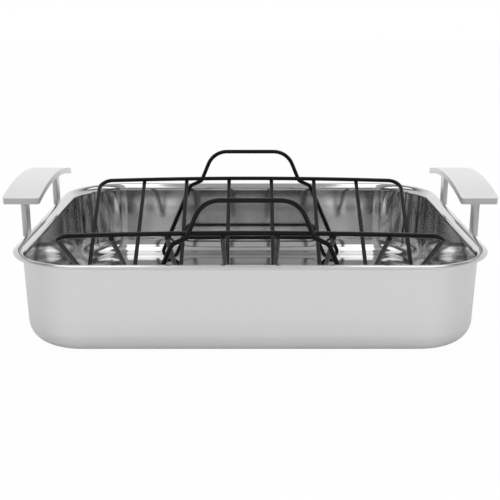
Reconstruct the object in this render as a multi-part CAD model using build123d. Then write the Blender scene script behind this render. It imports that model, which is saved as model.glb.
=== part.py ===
"""A rectangular roasting pan with two welded side handles, and the wire rack that stands in it.

Millimetres, +Z up. The origin is on the table under the middle of the pan. X runs along the pan
from the left handle to the right one, and Y from the front wall to the rear wall.
"""

import os
from math import atan2, cos, isclose, radians, sin, sqrt, tan

from build123d import *

# Pan shell, pressed from one clad sheet
opening_length = 406.8  # between the side walls, at the rim
opening_width = 334.8  # between the front and rear walls, at the rim
pan_height = 84.7  # table to the top of the rim
sheet = 2.4  # thickness of the sheet
wall_draft = 1.6  # degrees that the walls lean outward
plan_corner_radius = 54.6  # inside, at the rim
floor_corner_radius = 17.0  # inside, from wall to floor
rim_bend_radius = 7.8  # upper face, wall to rim
rim_land = 0.5  # level strip between the two bends of the rim
lip_bend_radius = 2.8  # upper face, rim to pouring lip
lip_width = 2.0
lip_fall = 1.4
lip_edge_radius = 0.9

# Side handles: an arched strap grip on two flat posts
grip_width = 34.9
grip_length = 156.0
grip_thickness = 5.7
grip_arch = 9.5  # rise of the middle over the ends
grip_clear_height = 30.6  # top of the rim to the underside of the grip's ends
grip_inset = 5.6  # inner edge of the grip, inside the wall's inner face
grip_corner_radius = 2.5
grip_edge_radius = 1.0
post_thickness = 4.7
post_width = 14.0
post_end_margin = 2.6  # end of the grip to the post
post_outset = 1.6  # outer face of a post, beyond the rim's outer edge

# Rack wire
wire_diameter = 4.4
weld_sink = 0.4  # how far two welded wires sink into each other
rest_clearance = 0.3  # rack feet to the pan's floor

# Rack frame: one closed loop that makes both top bars and the V at each end
rack_end_gap = 26.5  # end of the rack to the side wall's rim
rack_side_gap = 38.6  # top bar to the front or rear wall's rim
bar_rise = 15.4  # rim to the centre of a top bar, at its middle
bar_crown = 3.0  # rise of a bar's middle over its ends
v_point_gap = 16.1  # pan's floor to the point where the two slopes of the V would meet
end_lean = 4.0  # the V's point stands inward of the ends of the bars
frame_corner_radius = 14.0
v_bottom_radius = 12.0

# Rack ribs: V-shaped wires that carry the roast
rib_count = 6
rib_end_gap = 51.2  # end of the frame to the nearest rib
rib_overlap = 1.5  # end of a rib beyond the centre of the bar

# Rack handle loops: a lifting grip, two legs and a low cross wire, bent from one wire.
# Halves are measured from the middle of the rack, rises and falls from the middle of the bar.
grip_rise = 30.7
grip_half = 42.6
grip_bend_radius = 23.5
neck_half = 56.9
neck_fall = 3.5
neck_bend_radius = 5.0
shoulder_half = 70.0
shoulder_fall = 9.5
shoulder_bend_radius = 8.0
foot_half = 106.6
foot_length = 17.6
foot_bend_radius = 6.0
heel_bend_radius = 5.0
cross_wire_half = 79.0
cross_wire_rise = 22.8  # over the wire of the foot
cross_wire_bend_radius = 6.0

# Places that several pieces share
lip_start = (
    rim_bend_radius * tan(radians(90 - wall_draft) / 2)
    + rim_land
    + lip_bend_radius * tan(atan2(lip_fall, lip_width) / 2)
)
rim_overhang = lip_start + lip_width
floor_inset = (pan_height - sheet) * tan(radians(wall_draft)) + floor_corner_radius
rack_half_length = opening_length / 2 - rack_end_gap - wire_diameter / 2
rack_half_spread = opening_width / 2 - rack_side_gap - wire_diameter / 2
bar_height = pan_height + bar_rise
v_point_height = sheet + v_point_gap
crown_radius = (rack_half_length**2 + bar_crown**2) / (2 * bar_crown)
rib_pitch = 2 * (rack_half_length - rib_end_gap) / (rib_count - 1)


def shell_section():
    """Section of the sheet on the +X side, from the edge of the flat floor to the rim."""
    wall_top = opening_length / 2
    floor_edge = wall_top - floor_inset
    upper_face = FilletPolyline(
        (floor_edge, 0, sheet),
        (floor_edge + floor_corner_radius, 0, sheet),
        (wall_top, 0, pan_height),
        (wall_top + lip_start, 0, pan_height),
        (wall_top + rim_overhang, 0, pan_height - lip_fall),
        radius=[floor_corner_radius, rim_bend_radius, lip_bend_radius],
    )
    outline = offset(upper_face, amount=sheet, side=Side.LEFT, closed=True)
    section = make_face(outline)
    cut_edges = section.edges().filter_by(lambda edge: isclose(edge.length, sheet, rel_tol=1e-6))
    lip_end = cut_edges.sort_by(Axis.X)[-1]
    return fillet(lip_end.vertices(), lip_edge_radius)


def make_pan_body():
    """Four mirrored quarters of the swept wall around a flat floor."""
    side = opening_length / 2
    front = opening_width / 2
    corner = plan_corner_radius
    path = Line((side, 0, pan_height), (side, front - corner, pan_height))
    path += RadiusArc(
        (side, front - corner, pan_height), (side - corner, front, pan_height), -corner
    )
    path += Line((side - corner, front, pan_height), (0, front, pan_height))
    quarter = sweep(shell_section(), path=path)
    half = quarter + mirror(quarter, about=Plane.XZ)
    wall = half + mirror(half, about=Plane.YZ)
    floor = extrude(
        RectangleRounded(
            opening_length - 2 * floor_inset,
            opening_width - 2 * floor_inset,
            corner - floor_inset,
        ),
        amount=sheet,
    )
    return wall + floor


def make_grip():
    """The right grip: a strap that arches along Y."""
    half = grip_length / 2
    low = pan_height + grip_clear_height
    top = low + grip_thickness
    profile = Curve() + [
        ThreePointArc((0, -half, low), (0, 0, low + grip_arch), (0, half, low)),
        Line((0, half, low), (0, half, top)),
        ThreePointArc((0, half, top), (0, 0, top + grip_arch), (0, -half, top)),
        Line((0, -half, top), (0, -half, low)),
    ]
    inner_x = opening_length / 2 - grip_inset
    strap = extrude(Pos(inner_x, 0, 0) * make_face(profile), amount=grip_width, dir=(1, 0, 0))
    strap = fillet(strap.edges().filter_by(Axis.Z), grip_corner_radius)
    rims = strap.edges().filter_by(lambda edge: edge.length > grip_width / 2)
    return fillet(rims, grip_edge_radius)


def make_post(end, grip, pan_body):
    """One post of the right handle, coped to the rim below and to the grip above."""
    low = pan_height - lip_fall
    high = pan_height + grip_clear_height + grip_arch
    centre_x = opening_length / 2 + rim_overhang + post_outset - post_thickness / 2
    centre_y = end * (grip_length / 2 - post_end_margin - post_width / 2)
    blank = Pos(centre_x, centre_y, low) * Box(
        post_thickness, post_width, high - low, align=(Align.CENTER, Align.CENTER, Align.MIN)
    )
    return largest_piece(blank - grip - pan_body)


def largest_piece(shape):
    """What is left of a coped blank once its offcuts are dropped."""
    return shape.solids().sort_by(SortBy.VOLUME)[-1]


def wire_along(path):
    """Round wire whose centre follows a path."""
    start = Plane(origin=path @ 0, z_dir=path % 0)
    return sweep(start * Circle(wire_diameter / 2), path=path)


def bar_height_at(x):
    """Height of a top bar's centre at a distance x from the rack's middle."""
    return bar_height - crown_radius + sqrt(crown_radius**2 - x**2)


def make_rack_frame():
    """The closed frame loop, swept as one half and mirrored."""
    bow_end = rack_half_length - 2 * frame_corner_radius
    slope = bow_end / sqrt(crown_radius**2 - bow_end**2)
    corner_height = bar_height_at(bow_end) - slope * (rack_half_length - bow_end)

    def bar(side):
        return ThreePointArc(
            (0, side * rack_half_spread, bar_height),
            (bow_end / 2, side * rack_half_spread, bar_height_at(bow_end / 2)),
            (bow_end, side * rack_half_spread, bar_height_at(bow_end)),
        )

    end = FilletPolyline(
        (bow_end, -rack_half_spread, bar_height_at(bow_end)),
        (rack_half_length, -rack_half_spread, corner_height),
        (rack_half_length - end_lean, 0, v_point_height),
        (rack_half_length, rack_half_spread, corner_height),
        (bow_end, rack_half_spread, bar_height_at(bow_end)),
        radius=[frame_corner_radius, v_bottom_radius, frame_corner_radius],
    )
    half = wire_along(Wire(bar(-1).edges() + end.edges() + bar(1).edges()))
    return half + mirror(half, about=Plane.YZ)


def make_rib(x, frame):
    """A V-shaped rib that is welded to the underside of both bars."""
    angle = atan2(bar_height_at(x) - v_point_height, rack_half_spread)
    drop = wire_diameter - weld_sink
    end_y = rack_half_spread + drop * sin(angle) + rib_overlap * cos(angle)
    end_z = bar_height_at(x) - drop * cos(angle) + rib_overlap * sin(angle)
    path = FilletPolyline(
        (x, -end_y, end_z),
        (x, 0, v_point_height - drop / cos(angle)),
        (x, end_y, end_z),
        radius=v_bottom_radius,
    )
    return wire_along(path) - frame


def make_handle_loop(side, frame):
    """Grip, legs, feet and cross wire in one upright plane outside a top bar."""
    y = side * (rack_half_spread + wire_diameter - weld_sink)
    foot_height = sheet + rest_clearance + wire_diameter / 2
    cross_height = foot_height + cross_wire_rise
    path = FilletPolyline(
        (0, y, bar_height + grip_rise),
        (grip_half, y, bar_height + grip_rise),
        (neck_half, y, bar_height - neck_fall),
        (shoulder_half, y, bar_height - shoulder_fall),
        (foot_half, y, foot_height),
        (foot_half - foot_length, y, foot_height),
        (cross_wire_half, y, cross_height),
        (0, y, cross_height),
        radius=[
            grip_bend_radius,
            neck_bend_radius,
            shoulder_bend_radius,
            foot_bend_radius,
            heel_bend_radius,
            cross_wire_bend_radius,
        ],
    )
    half = wire_along(path)
    return half + mirror(half, about=Plane.YZ) - frame


def make_parts():
    """Every piece by name, in its place."""
    pan_body = make_pan_body()
    parts = {"pan_body": pan_body}
    grip = make_grip()
    parts["right_grip"] = grip
    parts["left_grip"] = mirror(grip, about=Plane.YZ)
    for end, end_name in ((-1, "front"), (1, "rear")):
        post = make_post(end, grip, pan_body)
        parts[f"right_{end_name}_post"] = post
        parts[f"left_{end_name}_post"] = mirror(post, about=Plane.YZ)
    frame = make_rack_frame()
    parts["rack_frame"] = frame
    for index in range(rib_count):
        x = (index - (rib_count - 1) / 2) * rib_pitch
        parts[f"rack_rib_{index + 1}"] = make_rib(x, frame)
    parts["rack_front_loop"] = make_handle_loop(-1, frame)
    parts["rack_rear_loop"] = make_handle_loop(1, frame)
    return parts


os.makedirs("parts", exist_ok=True)
for name, shape in make_parts().items():
    export_step(shape, f"parts/{name}.step")
    print(name, len(shape.solids()), round(shape.volume))
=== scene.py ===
"""The looks of a roasting pan with a lift-out wire rack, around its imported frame. In metres."""

from math import atan2, cos, radians, sin, sqrt, tan

import bmesh
import bpy
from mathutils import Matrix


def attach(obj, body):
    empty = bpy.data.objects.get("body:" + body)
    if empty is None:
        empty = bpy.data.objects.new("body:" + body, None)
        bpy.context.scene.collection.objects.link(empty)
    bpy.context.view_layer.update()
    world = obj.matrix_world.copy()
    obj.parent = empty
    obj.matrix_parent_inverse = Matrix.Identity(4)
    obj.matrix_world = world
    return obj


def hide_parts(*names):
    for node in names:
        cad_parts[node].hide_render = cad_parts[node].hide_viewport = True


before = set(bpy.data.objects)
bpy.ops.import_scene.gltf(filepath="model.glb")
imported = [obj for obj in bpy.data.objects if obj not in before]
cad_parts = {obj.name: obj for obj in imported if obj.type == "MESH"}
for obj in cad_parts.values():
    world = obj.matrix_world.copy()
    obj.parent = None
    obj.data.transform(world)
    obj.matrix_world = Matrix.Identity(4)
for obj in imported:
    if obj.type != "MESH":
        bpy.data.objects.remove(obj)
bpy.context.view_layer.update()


# Pan shell
# Pressed from one sheet of clad stainless steel: flat floor, walls that lean out a little, and a
# rim that rolls over into a pouring lip. Polished bright inside and on the rim, satin outside.
class Socket:
    """An output of a node tree, on which Python arithmetic adds Math nodes."""

    def __init__(self, graph, output):
        self.graph = graph
        self.output = output

    def combine(self, operation, *values):
        return self.graph.node("ShaderNodeMath", {"operation": operation}, dict(enumerate(values)))

    def __add__(self, other):
        return self.combine("ADD", self, other)

    def __radd__(self, other):
        return self.combine("ADD", other, self)

    def __sub__(self, other):
        return self.combine("SUBTRACT", self, other)

    def __rsub__(self, other):
        return self.combine("SUBTRACT", other, self)

    def __mul__(self, other):
        return self.combine("MULTIPLY", self, other)

    def __rmul__(self, other):
        return self.combine("MULTIPLY", other, self)

    def __truediv__(self, other):
        return self.combine("DIVIDE", self, other)

    def __pow__(self, other):
        return self.combine("POWER", self, other)

    def __gt__(self, other):
        return self.combine("GREATER_THAN", self, other)

    def __lt__(self, other):
        return self.combine("LESS_THAN", self, other)

    def larger(self, other):
        return self.combine("MAXIMUM", self, other)

    def fade(self, start, end):
        """0 before start, 1 after end, smooth in between."""
        return self.graph.node(
            "ShaderNodeMapRange",
            {"interpolation_type": "SMOOTHSTEP"},
            {"Value": self, "From Min": start, "From Max": end},
        )


class Graph:
    """A node tree that is filled one expression at a time."""

    def __init__(self, tree):
        self.tree = tree

    def node(self, kind, settings=None, sockets=None, result=0):
        """Adds a node: first its settings, then its sockets' values or links, by name or index."""
        new = self.tree.nodes.new(kind)
        for name, value in (settings or {}).items():
            setattr(new, name, value)
        for key, values in (sockets or {}).items():
            socket = new.inputs[key] if isinstance(key, int) else self.open_socket(new, key)
            for value in values if isinstance(values, list) else [values]:
                if isinstance(value, Socket):
                    self.tree.links.new(value.output, socket)
                else:
                    socket.default_value = value
        return Socket(self, new.outputs[result])

    @staticmethod
    def open_socket(node, name):
        return next(socket for socket in node.inputs if socket.enabled and socket.name == name)

    def vector(self, x=0.0, y=0.0, z=0.0):
        return self.node("ShaderNodeCombineXYZ", None, {"X": x, "Y": y, "Z": z})

    def component(self, vector, axis):
        return self.node("ShaderNodeSeparateXYZ", None, {"Vector": vector}, axis)

    def end(self, kind, result):
        """Links the tree's result to its output node."""
        self.tree.links.new(result.output, self.tree.nodes.new(kind).inputs[0])


class FinishTree(Graph):
    """The node tree of one material, whose patterns follow the place on the piece."""

    def __init__(self, name):
        self.material = bpy.data.materials.new(name)
        self.material.use_nodes = True
        super().__init__(self.material.node_tree)
        self.tree.nodes.clear()

    def place_on_piece(self):
        return self.node("ShaderNodeTexCoord", None, None, "Object")

    def facing(self, axis):
        """How far the surface faces along an axis of the piece, from -1 to 1."""
        return self.component(self.node("ShaderNodeTexCoord", None, None, "Normal"), axis)

    def noise(self, scale, detail=2.0, roughness=0.5):
        """Noise from 0 to 1, around 0.5, at one scale or at one for each axis."""
        spot, even_scale = self.place_on_piece(), scale
        if isinstance(scale, tuple):
            spot = self.node("ShaderNodeMapping", None, {"Vector": spot, "Scale": scale})
            even_scale = 1.0
        sockets = {"Vector": spot, "Scale": even_scale, "Detail": detail, "Roughness": roughness}
        return self.node("ShaderNodeTexNoise", None, sockets)

    def bump(self, height, depth, under=None):
        """Relief from a height of 0 to 1, which may lie over another bump."""
        sockets = {"Height": height, "Strength": 1.0, "Distance": depth}
        if under is not None:
            sockets["Normal"] = under
        return self.node("ShaderNodeBump", None, sockets)

    def surface(self, tone, sockets):
        """Ends the tree in a surface of a grey tone and gives back the material."""
        grey = self.node("ShaderNodeCombineColor", None, {"Red": tone, "Green": tone, "Blue": tone})
        shader = self.node("ShaderNodeBsdfPrincipled", None, {"Base Color": grey, **sockets})
        self.end("ShaderNodeOutputMaterial", shader)
        return self.material


class FormTree(Graph):
    """A Geometry Nodes tree with named inputs, used as the modifier of one object."""

    def __init__(self, name, **inputs):
        super().__init__(bpy.data.node_groups.new(name, "GeometryNodeTree"))
        interface = self.tree.interface
        interface.new_socket("Geometry", in_out="OUTPUT", socket_type="NodeSocketGeometry")
        interface.new_socket("Geometry", in_out="INPUT", socket_type="NodeSocketGeometry")
        self.values = {}
        for label, value in inputs.items():
            kind = "NodeSocketInt" if isinstance(value, int) else "NodeSocketFloat"
            item = interface.new_socket(label, in_out="INPUT", socket_type=kind)
            self.values[item.identifier] = value
        start = self.tree.nodes.new("NodeGroupInput")
        self.inputs = {socket.name: Socket(self, socket) for socket in start.outputs}

    def skin(self, geometry, *materials):
        """Ends the tree with smooth faces, real instances and the piece's materials."""
        result = self.node("GeometryNodeSetShadeSmooth", None, {"Geometry": geometry})
        result = self.node("GeometryNodeRealizeInstances", None, {"Geometry": result})
        for material, selection in materials:
            result = self.node(
                "GeometryNodeSetMaterial",
                None,
                {"Geometry": result, "Selection": selection, "Material": material},
            )
        self.end("NodeGroupOutput", result)

    def bake(self, obj):
        """Runs the tree on an object and leaves a plain mesh object of the same name."""
        modifier = obj.modifiers.new("form", "NODES")
        modifier.node_group = self.tree
        for identifier, value in self.values.items():
            modifier[identifier] = value
        mesh = evaluated_mesh(obj)
        name = obj.name
        bpy.data.objects.remove(obj)
        mesh.name = name
        return place(bpy.data.objects.new(name, mesh))


def evaluated_mesh(obj):
    graph = bpy.context.evaluated_depsgraph_get()
    return bpy.data.meshes.new_from_object(obj.evaluated_get(graph), depsgraph=graph)


def apply_modifiers(obj):
    mesh = evaluated_mesh(obj)
    obj.modifiers.clear()
    obj.data = mesh
    mesh.name = obj.name


def place(obj):
    bpy.context.scene.collection.objects.link(obj)
    return obj


def bent_line(name, points, closed=False):
    """A curve of straight runs through (x, y, z, bend radius); a tree rounds its bends."""
    curve = bpy.data.curves.new(name, "CURVE")
    curve.dimensions = "3D"
    spline = curve.splines.new("POLY")
    spline.points.add(len(points) - 1)
    for point, (x, y, z, bend) in zip(spline.points, points):
        point.co = (x, y, z, 1)
        point.radius = bend
    spline.use_cyclic_u = closed
    return place(bpy.data.objects.new(name, curve))


def steel(name, reflectance, roughness, grain_depth, wave_depth, corner_painted_shade):
    """Stainless sheet with slow waves and with rolling grain from front to back.

    The grain runs up the front and rear walls and along the side walls. The four corners, where
    the sheet is drawn the most, have soft upright folds and are darkened by painted shade.
    """
    finish = FinishTree(name)
    across_grain, along_grain, grain_contrast = 1500, 18, 0.6
    sideways = finish.facing(0)
    side_wall = (sideways * sideways).fade(0.3, 0.7)
    flat_lines = finish.noise((across_grain, along_grain, along_grain), roughness=grain_contrast)
    wall_lines = finish.noise((along_grain, along_grain, across_grain), roughness=grain_contrast)
    lines = flat_lines + side_wall * (wall_lines - flat_lines)
    clouds = finish.noise(22.0)

    # Squares of the distances from the pan's middle between which a corner begins.
    x, y = (finish.component(finish.place_on_piece(), axis) for axis in range(2))
    drawn_corner = (x * x).fade(0.024, 0.034) * (y * y).fade(0.012, 0.019)
    folds = finish.noise((110, 110, 9), roughness=grain_contrast) - 0.5
    waves = finish.noise(9.0, detail=1.0) + 0.8 * folds * drawn_corner
    # Painted shade: the tone is lowered in the four corners.
    return finish.surface(
        reflectance * (1 + (clouds - 0.5) * 0.05 - corner_painted_shade * drawn_corner),
        {
            "Metallic": 1.0,
            "Roughness": roughness * (1 + (lines - 0.5) * 0.4 + (clouds - 0.5) * 0.25),
            "Normal": finish.bump(waves, wave_depth, under=finish.bump(lines, grain_depth)),
        },
    )


polished_steel = steel(
    "polished_steel",
    reflectance=0.66,
    roughness=0.09,
    grain_depth=0.00001,
    wave_depth=0.0002,
    corner_painted_shade=0.22,
)
satin_steel = steel(
    "satin_steel",
    reflectance=0.75,
    roughness=0.36,
    grain_depth=0.000004,
    wave_depth=0.0002,
    corner_painted_shade=0.13,
)

opening_length = 0.4068  # between the side walls, at the rim
opening_width = 0.3348  # between the front and rear walls, at the rim
pan_height = 0.0847
sheet = 0.0024
wall_draft = radians(1.6)
plan_corner_radius = 0.0546  # inside, at the rim
floor_corner_radius = 0.017  # inside, from wall to floor
rim_bend_radius = 0.0078
rim_land = 0.0005  # level strip between the two bends of the rim
lip_bend_radius = 0.0028
lip_width = 0.002
lip_fall = 0.0014
lip_edge_radius = 0.0009

lean = tan(wall_draft)
floor_inset = (pan_height - sheet) * lean + floor_corner_radius
lip_turn = atan2(lip_fall, lip_width)
bend_reach = rim_bend_radius * tan((radians(90) - wall_draft) / 2)
lip_start = bend_reach + rim_land + lip_bend_radius * tan(lip_turn / 2)
rim_edge = lip_start + lip_width
inner_foot = -(pan_height - sheet) * lean
outer_step = sheet * sqrt(1 + lean**2)
outer_foot = inner_foot + outer_step - sheet * lean

# Points of the sheet's section: distance out from the top of the wall, height with its sign
# changed, and bend radius. They run up the inner face, over the rim to the lip, and back down the
# outer face.
section = [
    (-floor_inset, -sheet, 0),
    (inner_foot, -sheet, floor_corner_radius),
    (0, -pan_height, rim_bend_radius),
    (lip_start, -pan_height, lip_bend_radius),
    (rim_edge, -(pan_height - lip_fall), lip_edge_radius),
    (
        rim_edge - sheet * sin(lip_turn),
        -(pan_height - lip_fall - sheet * cos(lip_turn)),
        lip_edge_radius,
    ),
    (lip_start - sheet * tan(lip_turn / 2), -(pan_height - sheet), lip_bend_radius - sheet),
    (outer_step - sheet * lean, -(pan_height - sheet), rim_bend_radius - sheet),
    (outer_foot, 0, floor_corner_radius + sheet),
    (-floor_inset, 0, 0),
]
plan_corner_steps = 28
bend_steps = 18
polish_end = 3 * bend_steps  # point of the rounded section, near the end of its bend at the lip
merge_distance = 0.00001

pan_tree = FormTree(
    "pressed_pan",
    length=opening_length,
    width=opening_width,
    corner=plan_corner_radius,
    inset=floor_inset,
    sheet=sheet,
)


def plan_outline(tree, inset):
    """The opening's rounded rectangle, taken in by an inset."""
    rectangle = tree.node(
        "GeometryNodeCurvePrimitiveQuadrilateral",
        None,
        {"Width": tree.inputs["length"] - 2 * inset, "Height": tree.inputs["width"] - 2 * inset},
    )
    corner = tree.inputs["corner"] - inset
    return tree.node(
        "GeometryNodeFilletCurve",
        {"mode": "POLY"},
        {"Curve": rectangle, "Count": plan_corner_steps, "Radius": corner},
    )


def rounded(tree, path, steps):
    """Rounds a path's corners by their bend radius."""
    bent = tree.node(
        "GeometryNodeFilletCurve",
        {"mode": "POLY"},
        {"Curve": path, "Count": steps, "Radius": tree.node("GeometryNodeInputRadius")},
    )
    return tree.node("GeometryNodeSetCurveRadius", None, {"Curve": bent, "Radius": 1.0})


pan_section = pan_tree.node(
    "GeometryNodeStoreNamedAttribute",
    {"data_type": "FLOAT", "domain": "POINT"},
    {
        "Geometry": rounded(pan_tree, pan_tree.inputs["Geometry"], bend_steps),
        "Name": "station",
        "Value": pan_tree.node("GeometryNodeSplineParameter", None, None, "Index"),
    },
)
pan_wall = pan_tree.node(
    "GeometryNodeCurveToMesh",
    None,
    {"Curve": plan_outline(pan_tree, 0), "Profile Curve": pan_section},
)
floor_plate = pan_tree.node(
    "GeometryNodeFillCurve",
    {"mode": "NGONS"},
    {"Curve": plan_outline(pan_tree, pan_tree.inputs["inset"])},
)
sheet_up = pan_tree.vector(z=pan_tree.inputs["sheet"])
upper_plate = pan_tree.node(
    "GeometryNodeTransform", None, {"Geometry": floor_plate, "Translation": sheet_up}
)
lower_plate = pan_tree.node("GeometryNodeFlipFaces", None, {"Mesh": floor_plate})
pan_shell = pan_tree.node(
    "GeometryNodeJoinGeometry", None, {"Geometry": [pan_wall, upper_plate, lower_plate]}
)
pan_shell = pan_tree.node(
    "GeometryNodeMergeByDistance", None, {"Geometry": pan_shell, "Distance": merge_distance}
)
station = pan_tree.node(
    "GeometryNodeInputNamedAttribute", {"data_type": "FLOAT"}, {"Name": "station"}
)
faces_down = pan_tree.component(pan_tree.node("GeometryNodeInputNormal"), 2) < -0.7
outside = (station > polish_end).larger(faces_down)
pan_tree.skin(pan_shell, (polished_steel, True), (satin_steel, outside))
pan_body = pan_tree.bake(bent_line("pan_shell", [(x, z, 0, bend) for x, z, bend in section]))

# The large flat faces keep their own direction where they run into a bend.
even_shading = pan_body.modifiers.new("even shading", "WEIGHTED_NORMAL")
even_shading.keep_sharp = True
apply_modifiers(pan_body)

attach(pan_body, "pan")
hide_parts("pan_body")

# Handle posts
# Four flat posts cut from stainless strap, with broken edges. Each stands on the pouring lip at
# the pan's outer edge and is welded to the rim below and to the underside of the grip above.
post_edge = 0.0006
post_merge_distance = 0.000002
handle_tone = 0.85
end_face_painted_shade = 0.38
painted_edge_highlight = 0.2


def brushed_handle(name):
    """Stainless strap, brushed along Y, with faint blotches from handling.

    Faces that face along Y are darkened by painted shade, and the rounded edges between them and
    the top and bottom carry a painted highlight.
    """
    finish = FinishTree(name)
    lines = finish.noise((1100, 24, 1100))
    blotches = finish.noise(30.0)
    endways, upward = (finish.facing(axis) for axis in (1, 2))
    painted_shade_on_ends = (endways * endways).fade(0.6, 0.9)
    painted_highlight_on_edges = (endways * endways * upward * upward).fade(0.05, 0.2)
    # Painted shade on the faces along Y, and a painted highlight on their rounded edges.
    end_painted_light = 1 - end_face_painted_shade * painted_shade_on_ends + painted_edge_highlight * painted_highlight_on_edges
    return finish.surface(
        handle_tone * (1 + (lines - 0.5) * 0.06) * end_painted_light,
        {
            "Metallic": 1.0,
            "Roughness": 0.4 + (lines - 0.5) * 0.12 + (blotches - 0.5) * 0.1,
            "Normal": finish.bump(lines, 0.000003),
        },
    )


handle_steel = brushed_handle("handle_steel")


def strap_piece(name, bare, edge):
    """A handle piece from its bare form, with a small round on every sharp edge."""
    for face in bare.faces:
        face.smooth = True
    mesh = bpy.data.meshes.new(name)
    bare.to_mesh(mesh)
    bare.free()
    piece = place(bpy.data.objects.new(name, mesh))
    bevel = piece.modifiers.new("broken edges", "BEVEL")
    bevel.width = edge
    bevel.segments = 3
    bevel.angle_limit = radians(40)
    bevel.harden_normals = True
    apply_modifiers(piece)
    piece.data.materials.clear()
    piece.data.materials.append(handle_steel)
    return piece


for node in ("left_front_post", "left_rear_post", "right_front_post", "right_rear_post"):
    blank = bmesh.new()
    blank.from_mesh(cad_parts[node].data)
    bmesh.ops.remove_doubles(blank, verts=blank.verts, dist=post_merge_distance)
    bmesh.ops.dissolve_limit(blank, angle_limit=radians(2), verts=blank.verts, edges=blank.edges)
    post = strap_piece(f"{node}_strap", blank, post_edge)
    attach(post, "pan")
    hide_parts(node)

# Grips
# Two lengths of wide stainless strap, cut with rounded corners, bent to a shallow arch and brushed.
# They lie level across the posts and reach outward from the pan's wall.
grip_width = 0.0349
grip_half_length = 0.078
grip_thickness = 0.0057
grip_arch = 0.0095  # rise of the middle over the ends
grip_clear_height = 0.0306  # top of the rim to the underside of the grip's ends
grip_inset = 0.0056  # inner edge of the grip, inside the wall's inner face
grip_corner_radius = 0.0025
grip_edge = 0.0011
corner_steps = 8
half_steps = 24

grip_low = pan_height + grip_clear_height
grip_inner = opening_length / 2 - grip_inset
arch_radius = (grip_half_length**2 + grip_arch**2) / (2 * grip_arch)


def grip_stations():
    """Places along the strap, each with how far its sides stand in at the corner rounds."""
    straight = grip_half_length - grip_corner_radius
    turns = [radians(90 * step / corner_steps) for step in range(corner_steps + 1)]
    corner = [
        (straight + grip_corner_radius * sin(turn), grip_corner_radius * (1 - cos(turn)))
        for turn in turns
    ]
    middle = [(straight * step / half_steps, 0) for step in range(1 - half_steps, half_steps)]
    return [(-y, inset) for y, inset in reversed(corner)] + middle + corner


def make_grip(name, side):
    """Cross sections along the strap, joined to a closed skin."""
    strap = bmesh.new()
    rings = []
    for y, inset in grip_stations():
        rise = sqrt(arch_radius**2 - y**2) - arch_radius + grip_arch
        low, high = grip_low + rise, grip_low + rise + grip_thickness
        near, far = grip_inner + inset, grip_inner + grip_width - inset
        corners = ((near, low), (far, low), (far, high), (near, high))
        rings.append([strap.verts.new((side * x, y, z)) for x, z in corners])
    for ring, following in zip(rings, rings[1:]):
        for first, second in zip(range(4), (1, 2, 3, 0)):
            strap.faces.new((ring[first], ring[second], following[second], following[first]))
    strap.faces.new(rings[0])
    strap.faces.new(rings[-1])
    bmesh.ops.recalc_face_normals(strap, faces=strap.faces)
    return strap_piece(name, strap, grip_edge)


for side, side_name in ((-1, "left"), (1, "right")):
    grip = make_grip(f"{side_name}_grip_strap", side)
    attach(grip, "pan")
    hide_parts(f"{side_name}_grip")

# Rack frame
# One round steel wire bent to a closed loop: a top bar along the front and the rear, slightly bowed
# upward, and a V at each end. Black non-stick coating over the wire and its welds.
wire = 0.0044
weld_sink = 0.0004  # how far two welded wires sink into each other
rack_end_gap = 0.0265  # end of the rack to the side wall's rim
rack_side_gap = 0.0386  # top bar to the front or rear wall's rim
bar_rise = 0.0154  # rim to the centre of a top bar, at its middle
bar_crown = 0.003  # rise of a bar's middle over its ends
v_point_gap = 0.0161  # pan's floor to the point where the two slopes of the V would meet
end_lean = 0.004  # the V's point stands inward of the ends of the bars
frame_corner_radius = 0.014
v_bottom_radius = 0.012
wire_bend_steps = 14
wire_sides = 20

half_length = opening_length / 2 - rack_end_gap - wire / 2
half_spread = opening_width / 2 - rack_side_gap - wire / 2
bar_height = pan_height + bar_rise
v_point = sheet + v_point_gap
crown_radius = (half_length**2 + bar_crown**2) / (2 * bar_crown)


def black_coating(name):
    """Baked non-stick coating: half gloss, a fine orange-peel skin and a few paler rubbed spots."""
    finish = FinishTree(name)
    orange_peel = finish.noise(1400.0)
    rubbed = finish.noise(60.0, detail=3.0)
    return finish.surface(
        0.003 + 0.004 * rubbed,
        {
            "Specular IOR Level": 0.25,
            "Roughness": 0.32 + (rubbed - 0.5) * 0.2,
            "Normal": finish.bump(orange_peel, 0.00001),
        },
    )


rack_black = black_coating("rack_black")


def sweep_wire(tree, path):
    """Rounds a path's corners by their bend radius and draws the wire along it."""
    section = tree.node(
        "GeometryNodeCurvePrimitiveCircle",
        None,
        {"Resolution": wire_sides, "Radius": tree.inputs["wire"] * 0.5},
    )
    bent = rounded(tree, path, wire_bend_steps)
    return tree.node(
        "GeometryNodeCurveToMesh",
        None,
        {"Curve": bent, "Profile Curve": section, "Fill Caps": True},
    )


def bent_wire(name, points):
    """A closed wire through the points, each (x, y, z, bend radius)."""
    tree = FormTree(name, wire=wire)
    tree.skin(sweep_wire(tree, tree.inputs["Geometry"]), (rack_black, True))
    return tree.bake(bent_line(name, points, closed=True))


# The bow of a bar ends short of the frame's corners, and a straight run along its slope leads on.
bow_end = half_length - 2 * frame_corner_radius
bow_slope = bow_end / sqrt(crown_radius**2 - bow_end**2)
bow_end_height = bar_height - crown_radius + sqrt(crown_radius**2 - bow_end**2)
corner_height = bow_end_height - bow_slope * (half_length - bow_end)
bow_tangent_height = bow_end_height + bow_slope * bow_end
rack_frame = bent_wire(
    "rack_frame_wire",
    [
        (half_length, -half_spread, corner_height, frame_corner_radius),
        (half_length - end_lean, 0, v_point, v_bottom_radius),
        (half_length, half_spread, corner_height, frame_corner_radius),
        (0, half_spread, bow_tangent_height, crown_radius),
        (-half_length, half_spread, corner_height, frame_corner_radius),
        (-half_length + end_lean, 0, v_point, v_bottom_radius),
        (-half_length, -half_spread, corner_height, frame_corner_radius),
        (0, -half_spread, bow_tangent_height, crown_radius),
    ],
)
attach(rack_frame, "rack")
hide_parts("rack_frame")

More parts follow.
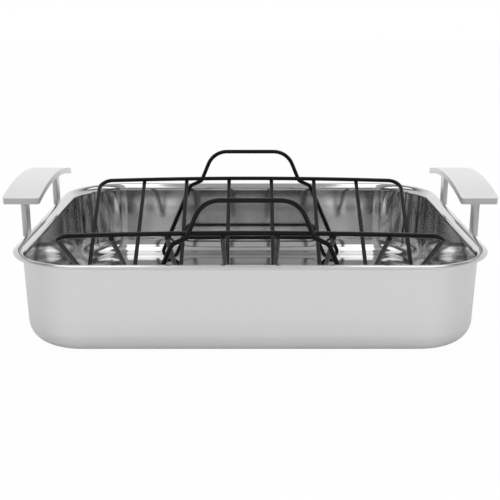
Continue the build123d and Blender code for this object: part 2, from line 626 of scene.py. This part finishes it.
# Rack ribs
# Six V-shaped wires that carry the roast, of the same wire as the frame, welded under both top bars
# with their cut ends just outside them.
rib_tree = FormTree(
    "rack_ribs",
    wire=wire,
    count=6,
    end_gap=0.0512,
    half_length=half_length,
    half_spread=half_spread,
    bar_height=bar_height,
    crown_radius=crown_radius,
    v_point=v_point,
    drop=wire - weld_sink,
    overlap=0.0015,
)
size = rib_tree.inputs
outermost = size["half_length"] - size["end_gap"]
stations = rib_tree.node(
    "GeometryNodeMeshLine",
    None,
    {
        "Count": size["count"],
        "Start Location": rib_tree.vector(0 - outermost),
        "Offset": rib_tree.vector(2 * outermost / (size["count"] - 1)),
    },
)
blanks = rib_tree.node(
    "GeometryNodeInstanceOnPoints", None, {"Points": stations, "Instance": size["Geometry"]}
)
blanks = rib_tree.node("GeometryNodeRealizeInstances", None, {"Geometry": blanks})

# A blank's three points stand at Y -1, 0 and 1. Each moves to its place on the rib.
blank_point = rib_tree.node("GeometryNodeInputPosition")
along_bar = rib_tree.component(blank_point, 0)
side = rib_tree.component(blank_point, 1)
side = side.combine("SIGN", side)
is_end = side * side
bow_drop = size["crown_radius"] - (size["crown_radius"] ** 2 - along_bar**2) ** 0.5
bar_here = size["bar_height"] - bow_drop
slope_rise = bar_here - size["v_point"]
slope_length = (slope_rise**2 + size["half_spread"] ** 2) ** 0.5
slope_sine = slope_rise / slope_length
slope_cosine = size["half_spread"] / slope_length
end_out = size["half_spread"] + size["drop"] * slope_sine + size["overlap"] * slope_cosine
end_height = bar_here - size["drop"] * slope_cosine + size["overlap"] * slope_sine
low_height = size["v_point"] - size["drop"] / slope_cosine
point_height = is_end * end_height + (1 - is_end) * low_height
bent = rib_tree.node(
    "GeometryNodeSetPosition",
    None,
    {
        "Geometry": blanks,
        "Position": rib_tree.vector(along_bar, side * end_out, point_height),
    },
)
rib_tree.skin(sweep_wire(rib_tree, bent), (rack_black, True))
rib_blank = [(0, -1, 0, 0), (0, 0, 0, v_bottom_radius), (0, 1, 0, 0)]
ribs = rib_tree.bake(bent_line("rack_rib_wires", rib_blank))
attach(ribs, "rack")
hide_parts(*(f"rack_rib_{index}" for index in range(1, 7)))

# Rack handle loops
# A lifting grip, two legs with feet and a low cross wire, all bent from one wire and closed. Each
# loop stands upright outside a top bar and is welded to it at the necks.
rest_clearance = 0.0003  # rack feet to the pan's floor
cross_wire_rise = 0.0228  # over the wire of the foot

foot_height = sheet + rest_clearance + wire / 2
cross_wire_height = foot_height + cross_wire_rise

# Half of a loop, from the top down: distance from the middle, height and bend radius.
loop_half = [
    (0.0426, bar_height + 0.0307, 0.0235),  # lifting grip
    (0.0569, bar_height - 0.0035, 0.005),  # neck
    (0.0700, bar_height - 0.0095, 0.008),  # shoulder
    (0.1066, foot_height, 0.006),  # toe of the foot
    (0.0890, foot_height, 0.005),  # heel of the foot
    (0.0790, cross_wire_height, 0.006),  # cross wire
]
for side, side_name in ((-1, "front"), (1, "rear")):
    y = side * (half_spread + wire - weld_sink)
    right = [(x, y, z, bend) for x, z, bend in loop_half]
    left = [(-x, y, z, bend) for x, z, bend in reversed(loop_half)]
    loop = bent_wire(f"rack_{side_name}_loop_wire", right + left)
    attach(loop, "rack")
    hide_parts(f"rack_{side_name}_loop")

# Floor
# A sheet of white studio paper under the pan. Camera and reflections see it as plain white, and it
# keeps the object's soft shadow.
paper_reach = 6
paper_tone = (0.9, 0.9, 0.9, 1)
plain_white = (1, 1, 1, 1)
white_in_reflections = 0.2
white_in_camera = 0.97


def backdrop_rays(graph):
    """Masks of the rays that see the backdrop: from the camera alone, and with reflections."""
    path = graph.tree.nodes.new("ShaderNodeLightPath")
    camera_ray, glossy_ray, transmission_ray = (
        Socket(graph, path.outputs[f"Is {kind} Ray"])
        for kind in ("Camera", "Glossy", "Transmission")
    )
    return camera_ray, camera_ray.larger(glossy_ray).larger(transmission_ray)


paper_corners = [
    (x * paper_reach, y * paper_reach, 0) for x, y in ((-1, -1), (1, -1), (1, 1), (-1, 1))
]
paper_mesh = bpy.data.meshes.new("studio_floor")
paper_mesh.from_pydata(paper_corners, [], [(0, 1, 2, 3)])
floor = place(bpy.data.objects.new("studio_floor", paper_mesh))
white = FinishTree("studio_white")
in_camera, backdrop = backdrop_rays(white)
whiteness = white_in_reflections * backdrop + (white_in_camera - white_in_reflections) * in_camera
paper = white.node("ShaderNodeBsdfDiffuse", None, {"Color": paper_tone})
glow = white.node("ShaderNodeEmission", None, {"Color": plain_white, "Strength": 1.0})
seen = white.node("ShaderNodeMixShader", None, {0: whiteness, 1: paper, 2: glow})
white.end("ShaderNodeOutputMaterial", seen)
paper_mesh.materials.append(white.material)

# Studio
# A white surround and two long soft lamps that hang over the sides of the pan. Polished steel also
# shows the dim room behind the camera and the dim ceiling, both paler between the lamps.
room_dimness = 0.86
paler_middle = 0.36
fill_light = 0.68
lamp_size = (0.45, 1.8)
lamp_offset = 0.46
lamp_height = 1.3
lamp_watts = 4.2

world = bpy.data.worlds.new("studio")
bpy.context.scene.world = world
world.use_nodes = True
world.node_tree.nodes.clear()
sky = Graph(world.node_tree)
looking = sky.node("ShaderNodeTexCoord", None, None, "Generated")
east, north, up = (sky.component(looking, axis) for axis in range(3))
level_reach = (east * east + north * north + 0.0001) ** 0.5  # never quite 0
behind_camera = 0 - north / level_reach
room = behind_camera.fade(0.2, 0.8) * up.fade(0.02, 0.1)
ceiling = up.fade(0.5, 0.75)
middle = 1 - (east * east).fade(0.01, 0.04)
dimness = room_dimness * room.larger(ceiling) * (1 - paler_middle * middle)
in_camera, backdrop = backdrop_rays(sky)
strength = fill_light + (1 - fill_light) * backdrop
strength = strength * (1 - dimness * backdrop * (1 - in_camera))
surround = sky.node("ShaderNodeBackground", None, {"Color": plain_white, "Strength": strength})
sky.end("ShaderNodeOutputWorld", surround)

for side, side_name in ((-1, "left"), (1, "right")):
    lamp = bpy.data.lights.new(f"{side_name}_softbox", "AREA")
    lamp.shape = "RECTANGLE"
    lamp.size, lamp.size_y = lamp_size
    lamp.energy = lamp_watts
    softbox = place(bpy.data.objects.new(f"{side_name}_softbox", lamp))
    softbox.location = (side * lamp_offset, 0, lamp_height)

# Camera
# A long lens in front of the pan, a little above its rim, that looks down over the front wall.
# Light runs round the polished corners in more steps than the usual limit of four lets through.
camera_place = (-0.0003, -0.8914, 0.2992)
camera_tilt = 15.68  # degrees below level

lens = bpy.data.cameras.new("camera")
lens.sensor_width = 36
lens.lens = 63.92
camera = place(bpy.data.objects.new("camera", lens))
camera.location = camera_place
camera.rotation_euler = (radians(90 - camera_tilt), 0, 0)
bpy.context.scene.camera = camera
bpy.context.scene.view_settings.view_transform = "Standard"
bpy.context.scene.cycles.glossy_bounces = 12
